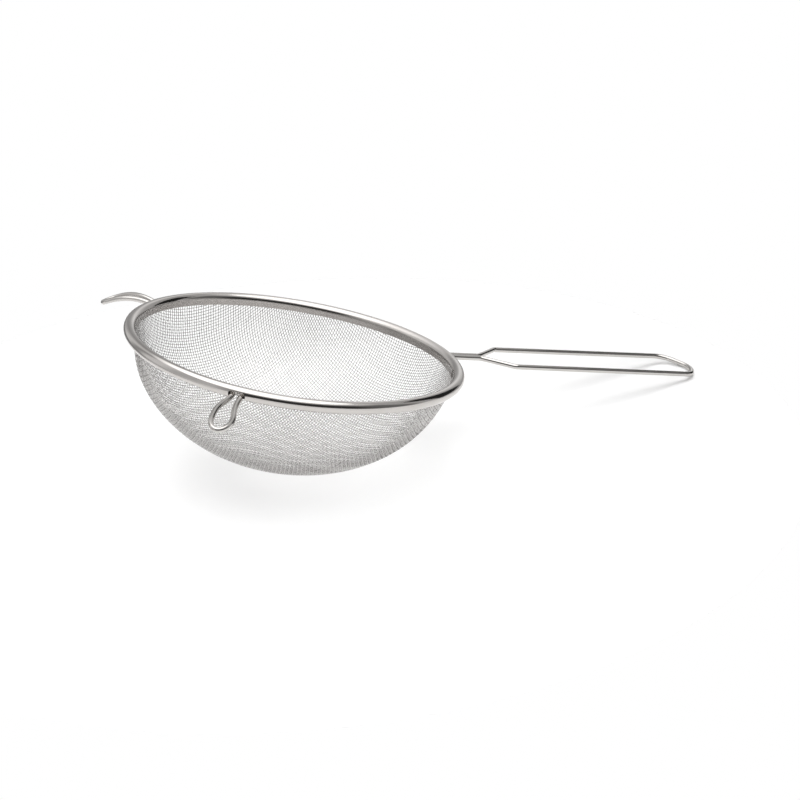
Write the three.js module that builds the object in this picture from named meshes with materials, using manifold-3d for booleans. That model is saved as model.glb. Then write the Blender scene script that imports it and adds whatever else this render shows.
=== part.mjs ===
// Round wire-mesh kitchen sieve, lying as it is put down on a table:
// a woven wire bowl in a rolled strip rim, on one bent wire that is rim core, rests and handle.
import * as THREE from 'three';
import { mergeVertices } from 'three/addons/utils/BufferGeometryUtils.js';
import Module from 'manifold-3d';

// Rim strip, in millimetres and degrees
const RIM_DIAMETER = 200; // across the outside of the bead
const BEAD_DIAMETER = 7.1;
const STRIP_THICKNESS = 0.45;
const BAND_INSET = 0.9; // the band's inner face stands this far inside the bead
const BAND_DEPTH = 3.4; // bead axis down to the band's lower edge
const BAND_SHOULDER = 1.4; // bead axis down to where the band starts to flare into the bead
const BEAD_START_ANGLE = 165; // round the bead from its outermost line, where the band joins it
const CURL_END_ANGLE = 105; // past the bead's outermost line, where the outer curl stops
const NOTCH_CLEARANCE = 0.3; // round the frame wire where it comes out through the curl
const NOTCH_CORNER = 1.2; // radius of the notch's upper corners

// Frame wire
const WIRE_DIAMETER = 3.2;
const WIRE_DROP = 0.9; // the wire's axis lies this far below the bead's axis
const WIRE_END_GAP = 1.2; // between the two ends, inside the bead opposite the handle
const WIRE_BEND = 4.3; // axis radius where the wire turns out of the rim
const WIRE_PAIR_GAP = 0.5; // between two lengths of wire that lie side by side

// Rests, the two loops that sit on a pot's rim
const REST_REACH = 39.1; // bead axis to the wire's axis at the tip
const REST_WIDTH = 11.4; // across the loop's axis line at its widest
const REST_WIDEST_AT = 28.1; // bead axis out to the widest place
const FRONT_REST_ANGLE = 130; // from the handle, to the front
const FRONT_REST_RISE = -6.7; // over the reach, at the slope it leaves the rim with
const FRONT_REST_DROP = 9.95; // tip below the bead's axis
const FRONT_REST_LEAN = 4; // sideways from straight out
const FAR_REST_ANGLE = 127; // from the handle, to the back
const FAR_REST_RISE = 9.8;
const FAR_REST_DROP = 9.1;

// Handle, a hairpin whose two legs run on from the neck
const NECK_END = 123; // bowl axis to where the legs part
const LEGS_START = 141; // bowl axis to the shoulder where each leg straightens
const SHOULDER_WIDTH = 31.2; // between the legs' axes at the shoulder
const TIP_WIDTH = 33.8; // between the legs' axes at the tip
const TIP_REACH = 276.1; // bowl axis to the knee of the end bar
const TIP_BOW = 9.5; // knee of the end bar past its corners
const TIP_KNEE = 4.6; // knee in front of the handle's middle line
const FRONT_TIP_CORNER = 6.8; // axis radius of the corner at the front leg
const FAR_TIP_CORNER = 11.5; // axis radius of the corner at the far leg
const BAR_BEND = 15.7; // axis radius of the end bar's knee
const SHOULDER_BEND = 4; // axis radius of the bends at neck and shoulder
const HANDLE_DROOP = 0.67; // handle's slope below the rim's plane

// Woven cloth, each modelled wire standing for a band of the real fine wires
const BOWL_DEPTH = 68.9; // bead axis down to the cloth's middle surface at its lowest
const WIRES_EACH_WAY = 21; // odd, so that one wire each way crosses the middle
const CLOTH_WIRE = 0.7; // side of the square wire
const CROSSING_GAP = 0.35; // between two wires where they cross
const CLOTH_SEAT = 0.45; // between the band and the crests of the weave
const CLOTH_END_DEPTH = 1.9; // bead axis down to the wires' ends, up inside the curl
const EDGE_SHARE = 0.7; // of a pitch, from the last wire to the cloth's edge
const WEAVE_ANGLE = 22; // from the handle to the nearest straight wire

// Facets
const RIM_SEGMENTS = 72;
const BEAD_STEPS = 10;
const WIRE_SIDES = 9;
const ARC_STEP = 7.5;

const wasm = await Module();
wasm.setup();

const rad = THREE.MathUtils.degToRad;
const beadRadius = BEAD_DIAMETER / 2;
const beadCircle = RIM_DIAMETER / 2 - beadRadius;
const bandRadius = beadCircle - beadRadius - BAND_INSET + STRIP_THICKNESS / 2;
const pairHalf = (WIRE_DIAMETER + WIRE_PAIR_GAP) / 2;
const crimp = (CLOTH_WIRE + CROSSING_GAP) / 2;
const clothRadius = bandRadius + STRIP_THICKNESS / 2 + CLOTH_SEAT + crimp + CLOTH_WIRE / 2;
const frontRest = {
  angle: -FRONT_REST_ANGLE, rise: FRONT_REST_RISE, drop: FRONT_REST_DROP, lean: FRONT_REST_LEAN,
};
const farRest = { angle: FAR_REST_ANGLE, rise: FAR_REST_RISE, drop: FAR_REST_DROP, lean: 0 };

// A wire's axis as a list of points, with a chosen up direction at each, for ExtrudeGeometry
class WirePath extends THREE.Curve {
  constructor(points, ups) {
    super();
    this.points = points;
    this.ups = ups;
  }

  getPointAt(share) {
    return this.points[Math.round(share * (this.points.length - 1))].clone();
  }

  computeFrenetFrames() {
    const last = this.points.length - 1;
    const frames = { tangents: [], normals: [], binormals: [] };
    this.points.forEach((point, index) => {
      const ahead = this.points[Math.min(index + 1, last)].clone().sub(point).normalize();
      const behind = point.clone().sub(this.points[Math.max(index - 1, 0)]).normalize();
      const tangent = ahead.add(behind).normalize();
      const normal = this.ups[index].clone().addScaledVector(tangent, -this.ups[index].dot(tangent));
      normal.normalize();
      frames.tangents.push(tangent);
      frames.normals.push(normal);
      frames.binormals.push(tangent.clone().cross(normal));
    });
    return frames;
  }
}

function sweep(shape, points, ups) {
  const path = new WirePath(points, ups);
  return new THREE.ExtrudeGeometry(shape, { steps: points.length - 1, extrudePath: path });
}

function roundSection(diameter, sides) {
  const corners = [];
  for (let side = 0; side < sides; side += 1) {
    const angle = (2 * Math.PI * side) / sides;
    corners.push(new THREE.Vector2(Math.cos(angle), Math.sin(angle)).multiplyScalar(diameter / 2));
  }
  return new THREE.Shape(corners);
}

function squareSection(side) {
  const half = side / 2;
  const shape = new THREE.Shape();
  shape.moveTo(-half, -half);
  shape.lineTo(half, -half);
  shape.lineTo(half, half);
  shape.lineTo(-half, half);
  return shape;
}

function solidOf(geometry) {
  const bare = geometry.clone();
  bare.deleteAttribute('normal');
  bare.deleteAttribute('uv');
  const merged = mergeVertices(bare, 1e-4);
  const mesh = new wasm.Mesh({
    numProp: 3,
    vertProperties: new Float32Array(merged.attributes.position.array),
    triVerts: new Uint32Array(merged.index.array),
  });
  return new wasm.Manifold(mesh);
}

function geometryOf(solid) {
  const mesh = solid.getMesh();
  const geometry = new THREE.BufferGeometry();
  geometry.setAttribute('position', new THREE.BufferAttribute(mesh.vertProperties, 3));
  geometry.setIndex(new THREE.BufferAttribute(mesh.triVerts, 1));
  geometry.computeVertexNormals();
  return geometry;
}

// The strip's middle line in section: up the band, through the flare, round the bead
function stripLine() {
  const middle = beadRadius - STRIP_THICKNESS / 2;
  const onBead = (degrees) => new THREE.Vector2(
    beadCircle + middle * Math.cos(rad(degrees)),
    middle * Math.sin(rad(degrees)),
  );
  const foot = new THREE.Vector2(bandRadius, -BAND_DEPTH);
  const shoulder = new THREE.Vector2(bandRadius, -BAND_SHOULDER);
  const joint = onBead(BEAD_START_ANGLE);
  const lead = (joint.y - shoulder.y) / 2;
  const arrival = new THREE.Vector2(
    joint.x - lead * Math.sin(rad(BEAD_START_ANGLE)),
    joint.y + lead * Math.cos(rad(BEAD_START_ANGLE)),
  );
  const departure = new THREE.Vector2(shoulder.x, shoulder.y + lead);
  const flare = new THREE.CubicBezierCurve(shoulder, departure, arrival, joint);
  const line = [foot, ...flare.getPoints(3)];
  for (let step = 1; step <= BEAD_STEPS; step += 1) {
    const share = step / BEAD_STEPS;
    line.push(onBead(BEAD_START_ANGLE - share * (BEAD_START_ANGLE + CURL_END_ANGLE)));
  }
  return line;
}

function stripProfile() {
  const line = stripLine();
  const outer = [];
  const inner = [];
  line.forEach((point, index) => {
    const before = line[Math.max(index - 1, 0)];
    const after = line[Math.min(index + 1, line.length - 1)];
    const along = after.clone().sub(before).normalize();
    const side = new THREE.Vector2(-along.y, along.x).multiplyScalar(STRIP_THICKNESS / 2);
    outer.unshift(point.clone().add(side));
    inner.push(point.clone().sub(side));
  });
  const loop = [...inner, ...outer];
  loop.push(loop[0].clone());
  return loop;
}

// The cut in the outer curl that lets two lengths of the frame wire out
function notchCutter(degrees, wireHeight) {
  const half = pairHalf + WIRE_BEND + NOTCH_CLEARANCE;
  const top = Math.max(-WIRE_DROP, wireHeight) + WIRE_DIAMETER / 2 + NOTCH_CLEARANCE;
  const bottom = -BEAD_DIAMETER;
  const shape = new THREE.Shape();
  shape.moveTo(-half, bottom);
  shape.lineTo(half, bottom);
  shape.lineTo(half, top - NOTCH_CORNER);
  shape.absarc(half - NOTCH_CORNER, top - NOTCH_CORNER, NOTCH_CORNER, 0, Math.PI / 2, false);
  shape.absarc(-half + NOTCH_CORNER, top - NOTCH_CORNER, NOTCH_CORNER, Math.PI / 2, Math.PI, false);
  const length = WIRE_DIAMETER / 2 + BEAD_DIAMETER;
  const cutter = new THREE.ExtrudeGeometry(shape, {
    depth: length, bevelEnabled: false, curveSegments: 4,
  });
  cutter.rotateX(Math.PI / 2);
  cutter.rotateZ(Math.PI / 2);
  cutter.translate(beadCircle - WIRE_DIAMETER / 2, 0, 0);
  cutter.rotateZ(rad(degrees));
  return solidOf(cutter);
}

function rimGeometry() {
  const ring = new THREE.LatheGeometry(stripProfile(), RIM_SEGMENTS);
  ring.rotateX(Math.PI / 2);
  let solid = solidOf(ring);
  solid = solid.subtract(notchCutter(0, -WIRE_DROP));
  [frontRest, farRest].forEach((rest) => {
    solid = solid.subtract(notchCutter(rest.angle, restHeight(rest, beadRadius)));
  });
  return geometryOf(solid);
}

function rimArc(from, to) {
  const steps = Math.max(2, Math.ceil((to - from) / ARC_STEP));
  const points = [];
  for (let step = 0; step <= steps; step += 1) {
    const angle = rad(from + ((to - from) * step) / steps);
    points.push(new THREE.Vector3(
      beadCircle * Math.cos(angle), beadCircle * Math.sin(angle), -WIRE_DROP,
    ));
  }
  return points;
}

// Quarter bend from the rim's run, across (v), to the way out (u)
function turnOut() {
  const bend = [];
  for (let step = 1; step <= 4; step += 1) {
    const angle = (Math.PI / 2) * (step / 4);
    bend.push({
      u: WIRE_BEND - WIRE_BEND * Math.cos(angle),
      v: -(pairHalf + WIRE_BEND) + WIRE_BEND * Math.sin(angle),
    });
  }
  return bend;
}

function mirrored(half) {
  return [...half, ...half.slice().reverse().filter((place) => place.v !== 0).map(
    (place) => ({ ...place, v: -place.v }),
  )];
}

// A rest leaves the rim at its own slope and curves evenly down to its tip
function restHeight(rest, u) {
  const share = u / REST_REACH;
  return -WIRE_DROP + rest.rise * share + (WIRE_DROP - rest.drop - rest.rise) * share ** 2;
}

function restPoints(rest) {
  const half = turnOut();
  const legSteps = 7;
  for (let step = 1; step <= legSteps; step += 1) {
    const share = step / legSteps;
    const swell = share * share * (3 - 2 * share);
    half.push({
      u: WIRE_BEND + (REST_WIDEST_AT - WIRE_BEND) * share,
      v: -(pairHalf + (REST_WIDTH / 2 - pairHalf) * swell),
    });
  }
  const endSteps = 4;
  for (let step = 1; step <= endSteps; step += 1) {
    const angle = (Math.PI / 2) * (step / endSteps);
    half.push({
      u: REST_WIDEST_AT + (REST_REACH - REST_WIDEST_AT) * Math.sin(angle),
      v: step === endSteps ? 0 : -(REST_WIDTH / 2) * Math.cos(angle),
    });
  }
  const turn = new THREE.Matrix4().makeRotationZ(rad(rest.angle));
  const lean = Math.tan(rad(rest.lean));
  return mirrored(half).map(({ u, v }) => new THREE.Vector3(
    beadCircle + u, v + Math.max(0, u - WIRE_BEND) * lean, restHeight(rest, u),
  ).applyMatrix4(turn));
}

// Corner rounded to an arc of the given radius, as points in the plane
function roundedCorner(before, corner, after, radius) {
  const inward = before.clone().sub(corner).normalize();
  const onward = after.clone().sub(corner).normalize();
  const halfAngle = inward.angleTo(onward) / 2;
  const reach = radius / Math.tan(halfAngle);
  const start = corner.clone().addScaledVector(inward, reach);
  const end = corner.clone().addScaledVector(onward, reach);
  const middle = inward.clone().add(onward).normalize();
  const centre = corner.clone().addScaledVector(middle, radius / Math.sin(halfAngle));
  const sweepAngle = Math.PI - 2 * halfAngle;
  const steps = Math.max(2, Math.ceil(sweepAngle / rad(24)));
  const first = start.clone().sub(centre);
  const side = end.clone().sub(centre).addScaledVector(first, -Math.cos(sweepAngle));
  side.multiplyScalar(1 / Math.sin(sweepAngle));
  const points = [];
  for (let step = 0; step <= steps; step += 1) {
    const angle = (sweepAngle * step) / steps;
    points.push(centre.clone()
      .addScaledVector(first, Math.cos(angle))
      .addScaledVector(side, Math.sin(angle)));
  }
  return points;
}

function handlePoints() {
  const corners = [
    { x: beadCircle + WIRE_BEND, y: -pairHalf },
    { x: NECK_END, y: -pairHalf, radius: SHOULDER_BEND },
    { x: LEGS_START, y: -SHOULDER_WIDTH / 2, radius: SHOULDER_BEND },
    { x: TIP_REACH - TIP_BOW, y: -TIP_WIDTH / 2, radius: FRONT_TIP_CORNER },
    { x: TIP_REACH, y: -TIP_KNEE, radius: BAR_BEND },
    { x: TIP_REACH - TIP_BOW, y: TIP_WIDTH / 2, radius: FAR_TIP_CORNER },
    { x: LEGS_START, y: SHOULDER_WIDTH / 2, radius: SHOULDER_BEND },
    { x: NECK_END, y: pairHalf, radius: SHOULDER_BEND },
    { x: beadCircle + WIRE_BEND, y: pairHalf },
  ].map(({ x, y, radius }) => ({ at: new THREE.Vector2(x, y), radius }));
  const way = turnOut();
  for (let index = 1; index < corners.length - 1; index += 1) {
    const { at, radius } = corners[index];
    const arc = roundedCorner(corners[index - 1].at, at, corners[index + 1].at, radius);
    arc.forEach((point) => way.push({ u: point.x - beadCircle, v: point.y }));
  }
  turnOut().reverse().forEach(({ u, v }) => way.push({ u, v: -v }));
  const slope = Math.tan(rad(HANDLE_DROOP));
  return way.map(({ u, v }) => new THREE.Vector3(
    beadCircle + u, v, -WIRE_DROP - Math.max(0, u - WIRE_BEND) * slope,
  ));
}

function frameWireGeometry() {
  const outlet = THREE.MathUtils.radToDeg((pairHalf + WIRE_BEND) / beadCircle);
  const endGap = THREE.MathUtils.radToDeg(WIRE_END_GAP / 2 / beadCircle);
  const points = [
    ...rimArc(-180 + endGap, frontRest.angle - outlet),
    ...restPoints(frontRest),
    ...rimArc(frontRest.angle + outlet, -outlet),
    ...handlePoints(),
    ...rimArc(outlet, farRest.angle - outlet),
    ...restPoints(farRest),
    ...rimArc(farRest.angle + outlet, 180 - endGap),
  ];
  const apart = points.filter(
    (point, index) => index === 0 || point.distanceTo(points[index - 1]) > 0.2,
  );
  const ups = apart.map(() => new THREE.Vector3(0, 0, 1));
  return sweep(roundSection(WIRE_DIAMETER, WIRE_SIDES), apart, ups);
}

// The bowl is half an ellipsoid, below the plane of the bead's axis
function bowlOffset(point) {
  const across = (point.x ** 2 + point.y ** 2) / clothRadius ** 2;
  return across + (point.z / BOWL_DEPTH) ** 2 - 1;
}

function bowlNormal(point) {
  return new THREE.Vector3(
    point.x / clothRadius ** 2, point.y / clothRadius ** 2, point.z / BOWL_DEPTH ** 2,
  ).normalize();
}

function meridianPoint(angle) {
  return new THREE.Vector3(clothRadius * Math.sin(angle), 0, -BOWL_DEPTH * Math.cos(angle));
}

function meridianLength(toAngle) {
  const steps = 400;
  let length = 0;
  for (let step = 0; step < steps; step += 1) {
    const from = meridianPoint((toAngle * step) / steps);
    length += from.distanceTo(meridianPoint((toAngle * (step + 1)) / steps));
  }
  return length;
}

function solve(balance, low, high) {
  let below = low;
  let above = high;
  const sign = Math.sign(balance(low));
  for (let step = 0; step < 60; step += 1) {
    const middle = (below + above) / 2;
    if (Math.sign(balance(middle)) === sign) {
      below = middle;
    } else {
      above = middle;
    }
  }
  return (below + above) / 2;
}

// Next crossing of the drawn cloth: one pitch along the bowl from each of its two neighbours
function nextCrossing(left, right, behind, pitch) {
  const middle = left.clone().add(right).multiplyScalar(0.5);
  const axis = right.clone().sub(left);
  const reachSquared = pitch ** 2 - axis.lengthSq() / 4;
  if (reachSquared <= 0) {
    return null;
  }
  axis.normalize();
  const onward = middle.clone().sub(behind);
  onward.addScaledVector(axis, -onward.dot(axis)).normalize();
  const across = axis.clone().cross(onward);
  const reach = Math.sqrt(reachSquared);
  const place = (angle) => middle.clone()
    .addScaledVector(onward, reach * Math.cos(angle))
    .addScaledVector(across, reach * Math.sin(angle));
  const balance = (angle) => bowlOffset(place(angle));
  const swing = Math.PI / 2;
  if (Math.sign(balance(-swing)) === Math.sign(balance(swing))) {
    return null;
  }
  return place(solve(balance, -swing, swing));
}

// One quarter of the cloth's crossings; the other three mirror it
function quarterNet(pitch, count) {
  const net = [];
  let angle = 0;
  const spine = [meridianPoint(0)];
  for (let index = 1; index <= count; index += 1) {
    const from = angle;
    const balance = (next) => meridianPoint(next).distanceTo(spine[index - 1]) - pitch;
    angle = solve(balance, from, from + 1);
    spine.push(meridianPoint(angle));
  }
  for (let i = 0; i <= count; i += 1) {
    net.push([]);
    for (let j = 0; j <= count; j += 1) {
      if (j === 0) {
        net[i].push(spine[i]);
      } else if (i === 0) {
        net[i].push(new THREE.Vector3(0, spine[j].x, spine[j].z));
      } else {
        const near = [net[i - 1][j], net[i][j - 1], net[i - 1][j - 1]];
        net[i].push(near.includes(null) ? null : nextCrossing(...near, pitch));
      }
    }
  }
  return net;
}

// Half of one wire, from its middle crossing out to the cloth's edge
function halfWire(crossings, sideSign) {
  const edge = -CLOTH_END_DEPTH;
  const half = [];
  for (let index = 0; index < crossings.length; index += 1) {
    const here = crossings[index];
    const lift = crimp * sideSign * (index % 2 === 0 ? 1 : -1);
    const last = half[half.length - 1];
    if (here !== null && here.z < edge) {
      half.push({ at: here, lift });
    } else {
      const ahead = here ?? last.at.clone().multiplyScalar(2).sub(half[half.length - 2].at);
      const share = (edge - last.at.z) / (ahead.z - last.at.z);
      half.push({
        at: last.at.clone().lerp(ahead, share),
        lift: last.lift + (lift - last.lift) * share,
      });
      return half;
    }
  }
  return half;
}

function clothWirePoints(net, line, alongY) {
  const row = Math.abs(line);
  const crossings = alongY ? net[row] : net.map((column) => column[row]);
  const sideSign = (row % 2 === 0 ? 1 : -1) * (alongY ? 1 : -1);
  const half = halfWire(crossings, sideSign);
  const whole = [...half.slice(1).reverse().map((place) => ({ ...place, back: true })), ...half];
  const turn = new THREE.Matrix4().makeRotationZ(rad(WEAVE_ANGLE));
  const points = [];
  const ups = [];
  whole.forEach(({ at, lift, back }) => {
    const flipX = alongY ? line < 0 : back;
    const flipY = alongY ? back : line < 0;
    const place = new THREE.Vector3(flipX ? -at.x : at.x, flipY ? -at.y : at.y, at.z);
    const up = bowlNormal(place);
    points.push(place.addScaledVector(up, lift).applyMatrix4(turn));
    ups.push(up.applyMatrix4(turn));
  });
  return { points, ups };
}

function steel(colour, roughness) {
  return new THREE.MeshStandardMaterial({ color: colour, roughness, metalness: 1 });
}

function addMesh(group, name, geometry, material) {
  const mesh = new THREE.Mesh(geometry, material);
  mesh.name = name;
  group.add(mesh);
  return mesh;
}

const sieve = new THREE.Group();
addMesh(sieve, 'rim_strip', rimGeometry(), steel(0xb7b5b2, 0.22));
const frameWire = addMesh(sieve, 'frame_wire', frameWireGeometry(), steel(0xc6c5c3, 0.18));

const halfCount = Math.round((WIRES_EACH_WAY - 1) / 2);
const clothLength = meridianLength(Math.acos(CLOTH_END_DEPTH / BOWL_DEPTH));
const pitch = clothLength / (halfCount + EDGE_SHARE);
const net = quarterNet(pitch, halfCount + 3);
const clothWires = [];
for (let line = -halfCount; line <= halfCount; line += 1) {
  const number = String(line + halfCount + 1).padStart(2, '0');
  [['warp', true], ['weft', false]].forEach(([family, alongY]) => {
    const { points, ups } = clothWirePoints(net, line, alongY);
    const geometry = sweep(squareSection(CLOTH_WIRE), points, ups);
    clothWires.push(addMesh(sieve, `${family}_wire_${number}`, geometry, steel(0xb2b0ad, 0.3)));
  });
}

// Put down on a table, the sieve tips until bowl and handle end both touch it
function lowestPoint(meshes, tilt) {
  let lowest = Infinity;
  meshes.forEach((mesh) => {
    const { array } = mesh.geometry.attributes.position;
    for (let index = 0; index < array.length; index += 3) {
      const height = array[index + 2] * Math.cos(tilt) - array[index] * Math.sin(tilt);
      lowest = Math.min(lowest, height);
    }
  });
  return lowest;
}

const tipOver = (tilt) => lowestPoint([frameWire], tilt) - lowestPoint(clothWires, tilt);
sieve.rotation.y = solve(tipOver, 0, Math.PI / 3);

const object = new THREE.Group();
object.add(sieve);
object.updateMatrixWorld(true);
const box = new THREE.Box3().setFromObject(object, true);
const centre = box.getCenter(new THREE.Vector3());
sieve.position.set(-centre.x, -centre.y, -box.min.z);

export default object;
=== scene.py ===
"""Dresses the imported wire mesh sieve: rolled rim, bent wire and woven bowl, in a plain studio."""
import logging
import math
from dataclasses import dataclass, field
from enum import Enum

import bpy
import numpy as np
from mathutils import Matrix, Vector


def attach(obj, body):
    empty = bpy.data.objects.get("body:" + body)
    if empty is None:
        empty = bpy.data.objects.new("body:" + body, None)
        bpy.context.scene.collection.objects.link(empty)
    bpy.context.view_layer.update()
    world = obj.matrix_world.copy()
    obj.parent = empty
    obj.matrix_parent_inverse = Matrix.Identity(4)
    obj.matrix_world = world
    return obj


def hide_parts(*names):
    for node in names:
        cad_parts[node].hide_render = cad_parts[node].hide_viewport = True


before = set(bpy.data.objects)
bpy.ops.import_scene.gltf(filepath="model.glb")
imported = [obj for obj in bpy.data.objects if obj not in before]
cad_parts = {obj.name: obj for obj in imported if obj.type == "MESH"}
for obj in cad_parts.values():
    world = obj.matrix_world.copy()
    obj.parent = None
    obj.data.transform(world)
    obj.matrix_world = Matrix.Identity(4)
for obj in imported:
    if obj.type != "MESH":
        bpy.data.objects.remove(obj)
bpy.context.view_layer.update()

LOG = logging.getLogger("sieve")
MILLIMETRE = 0.001
BODY = "root"
DULL = "dull"
FRONT_REST_ANGLE = -130.0
FAR_REST_ANGLE = 127.0
WHITE = (1.0, 1.0, 1.0, 1.0)

# In millimetres: what counts as the same place, and the least radius that is divided by
NEAR = 0.01
LEAST_RADIUS = 1.0

Piece = bpy.types.Object
Finish = bpy.types.Material
Socket = bpy.types.NodeSocket
Pair = tuple[float, float]
Triple = tuple[float, float, float]
Stops = tuple[Pair, ...]
Inputs = dict[str | int, Socket | float | tuple[float, ...]]


class Slot(Enum):
    """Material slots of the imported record."""

    RIM = "rim_steel"
    FRAME = "frame_steel"
    CLOTH = "cloth_steel"


class Family(Enum):
    """The two directions of the cloth's wires."""

    WARP = "warp"
    WEFT = "weft"


class Band(Enum):
    """Thirds of the cloth, counted across each family of wires."""

    FIRST = 0
    MIDDLE = 1
    LAST = 2


class Ray(Enum):
    """Kinds of ray that a thing of the studio can be hidden from."""

    CAMERA = "visible_camera"
    DIFFUSE = "visible_diffuse"
    GLOSSY = "visible_glossy"
    TRANSMISSION = "visible_transmission"
    SHADOW = "visible_shadow"


def deselect_all() -> None:
    """Leave edit mode and deselect every object."""
    current = bpy.context.view_layer.objects.active
    if current is not None and current.mode != "OBJECT":
        bpy.ops.object.mode_set(mode="OBJECT")
    bpy.ops.object.select_all(action="DESELECT")


def activate(piece: Piece) -> None:
    """Make one object the only one selected, and the active one.

    Args:
        piece: The object to work on.
    """
    deselect_all()
    piece.select_set(True)
    bpy.context.view_layer.objects.active = piece


def just_added(name: str) -> Piece:
    """The object that was added last, under its new name."""
    bpy.context.view_layer.objects.active.name = name
    return bpy.context.view_layer.objects.active


def close_mesh(merge: float, fill_ends: bool = False) -> None:
    """Merge the active mesh's doubles, fill its open ends if asked, and turn its faces outwards.

    Args:
        merge: How close two vertices are that become one.
        fill_ends: True for a mesh with open ends.
    """
    bpy.ops.object.mode_set(mode="EDIT")
    bpy.ops.mesh.select_all(action="SELECT")
    bpy.ops.mesh.remove_doubles(threshold=merge)
    if fill_ends:
        bpy.ops.mesh.select_all(action="DESELECT")
        bpy.ops.mesh.select_non_manifold()
        bpy.ops.mesh.fill_holes(sides=0)
        bpy.ops.mesh.select_all(action="SELECT")
    bpy.ops.mesh.normals_make_consistent(inside=False)
    bpy.ops.object.mode_set(mode="OBJECT")


def shade_smooth(piece: Piece, degrees: float) -> None:
    """Shade a piece smooth, apart from edges that turn by more than an angle."""
    activate(piece)
    bpy.ops.object.shade_smooth_by_angle(angle=math.radians(degrees))


def polar(radius: float, degrees: float, height: float) -> Vector:
    """A point by its distance from the bowl's axis, its angle from the handle and its height."""
    angle = math.radians(degrees)
    return Vector((radius * math.cos(angle), radius * math.sin(angle), height))


def eased(share: float | np.ndarray) -> float | np.ndarray:
    """A share from 0 to 1 that starts and ends gently."""
    return share * share * (3.0 - 2.0 * share)


def moved_out(points: np.ndarray, outward: np.ndarray) -> np.ndarray:
    """Points moved away from the bowl's axis.

    Args:
        points: One row for each point, in the rim's own frame.
        outward: How far each one goes.

    Returns:
        The moved points.
    """
    radius = np.hypot(points[:, 0], points[:, 1])
    moved = points.copy()
    moved[:, :2] *= (1.0 + outward / np.maximum(radius, LEAST_RADIUS))[:, None]
    return moved


@dataclass(frozen=True)
class RoundWire:
    """Drawn round wire: its diameter, and how finely its tube is modelled."""

    diameter: float
    roundness: int
    merge: float = 0.0005
    smooth_angle: float = 60.0

    def along(self, name: str, axes: list[np.ndarray]) -> Piece:
        """Lengths of this wire along given axes, as one closed mesh.

        Args:
            name: The new object's name.
            axes: One array of points for each length.

        Returns:
            The mesh object.
        """
        curve = bpy.data.curves.new(name, "CURVE")
        curve.dimensions = "3D"
        curve.bevel_depth = self.diameter / 2
        curve.bevel_resolution = self.roundness
        curve.use_fill_caps = True
        for axis in axes:
            spline = curve.splines.new("POLY")
            spline.points.add(len(axis) - 1)
            flat = np.ones((len(axis), 4))
            flat[:, :3] = axis
            spline.points.foreach_set("co", flat.ravel())
            spline.use_smooth = True
        piece = bpy.data.objects.new(name, curve)
        bpy.context.scene.collection.objects.link(piece)
        activate(piece)
        bpy.ops.object.convert(target="MESH")
        piece = just_added(name)
        close_mesh(self.merge)
        shade_smooth(piece, self.smooth_angle)
        return piece


@dataclass(frozen=True)
class TableRest:
    """How the sieve lies on the table: the rim's own frame, in millimetres, in the part's frame."""

    tilt: float = 14.17122
    rim_centre: Triple = (-84.58712, -1.38757, 71.41610)

    def matrix(self) -> Matrix:
        """The transform from the rim's own frame, in millimetres, to the part's, in metres."""
        turn = Matrix.Rotation(math.radians(self.tilt), 4, "Y") @ Matrix.Scale(MILLIMETRE, 4)
        return Matrix.Translation(Vector(self.rim_centre) * MILLIMETRE) @ turn

    def set_down(self, piece: Piece) -> None:
        """Put a piece modelled in the rim's own frame where it lies, with its place in its mesh."""
        piece.data.transform(self.matrix())
        piece.data.update()


@dataclass(frozen=True)
class OutOfRound:
    """How far the hand-bent rim runs outside or inside a true circle, as waves round it.

    Each wave has a cosine and a sine share, in millimetres: the first goes round once, the next
    twice, and so on. They fade out towards the loops' ends and down the bowl.
    """

    swell: float = 0.12
    waves: tuple[Pair, ...] = ((-0.08, -0.17), (0.49, -0.46), (0.93, -0.48))
    fade_start: float = 100.0
    fade_end: float = 130.0
    fade_depth: float = 70.0

    def draw(self, piece: Piece) -> None:
        """Move a piece modelled on a true circle to where the rim really runs.

        Args:
            piece: A mesh object in the rim's own frame.
        """
        flat = np.empty(len(piece.data.vertices) * 3)
        piece.data.vertices.foreach_get("co", flat)
        points = flat.reshape(-1, 3)
        radius = np.hypot(points[:, 0], points[:, 1])
        angle = np.arctan2(points[:, 1], points[:, 0])
        outward = np.full(len(points), self.swell)
        for count, (cosine, sine) in enumerate(self.waves, start=1):
            outward += cosine * np.cos(count * angle) + sine * np.sin(count * angle)
        fade = (self.fade_end - radius) / (self.fade_end - self.fade_start)
        outward *= np.clip(fade, 0.0, 1.0)
        outward *= np.clip(1.0 + points[:, 2] / self.fade_depth, 0.0, 1.0)
        piece.data.vertices.foreach_set("co", moved_out(points, outward).ravel())
        piece.data.update()


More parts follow.
